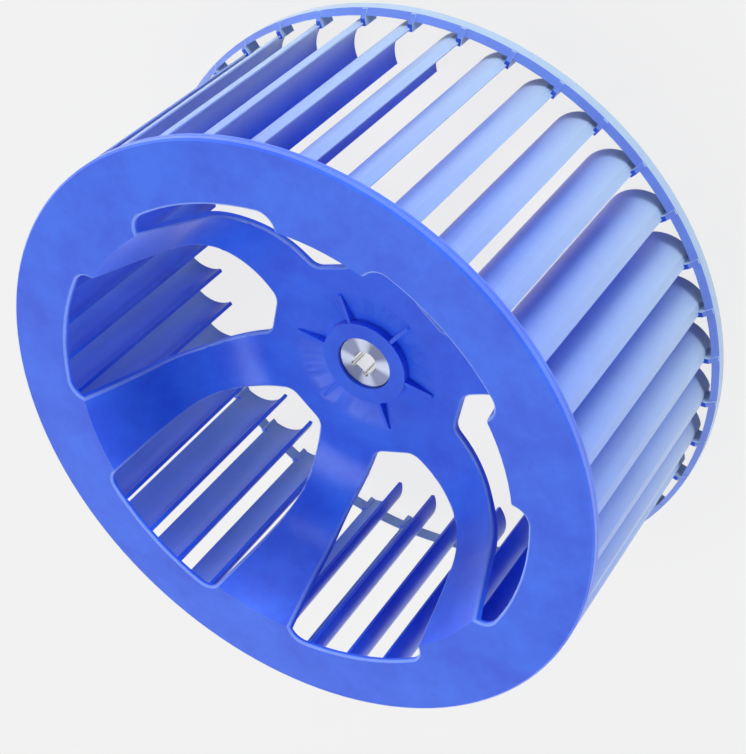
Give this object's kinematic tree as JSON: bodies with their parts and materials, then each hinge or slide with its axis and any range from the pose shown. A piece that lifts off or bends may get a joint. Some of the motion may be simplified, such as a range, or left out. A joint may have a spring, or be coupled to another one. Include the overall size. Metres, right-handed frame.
{
  "type": "blower wheel",
  "caption": "Forward-curved centrifugal blower wheel with a dished, windowed disc, an inlet ring outside the blades and a moulded-in metal hub with a D-shaped shaft hole.",
  "frame": {"origin": "on the wheel's axis, in the plane the inlet ring stands on", "axes": "+Z along the shaft hole towards the flange, where the motor shaft leaves; +X and +Y are not tied to a feature"},
  "size_m": [0.2074, 0.2074, 0.089],
  "materials": {
    "blue_plastic": "satin moulded polypropylene",
    "bare_metal": "turned, bright"
  },
  "bodies": {
    "root": {"wheel": "blue_plastic", "hub_insert": "bare_metal"}
  },
  "joints": []
}
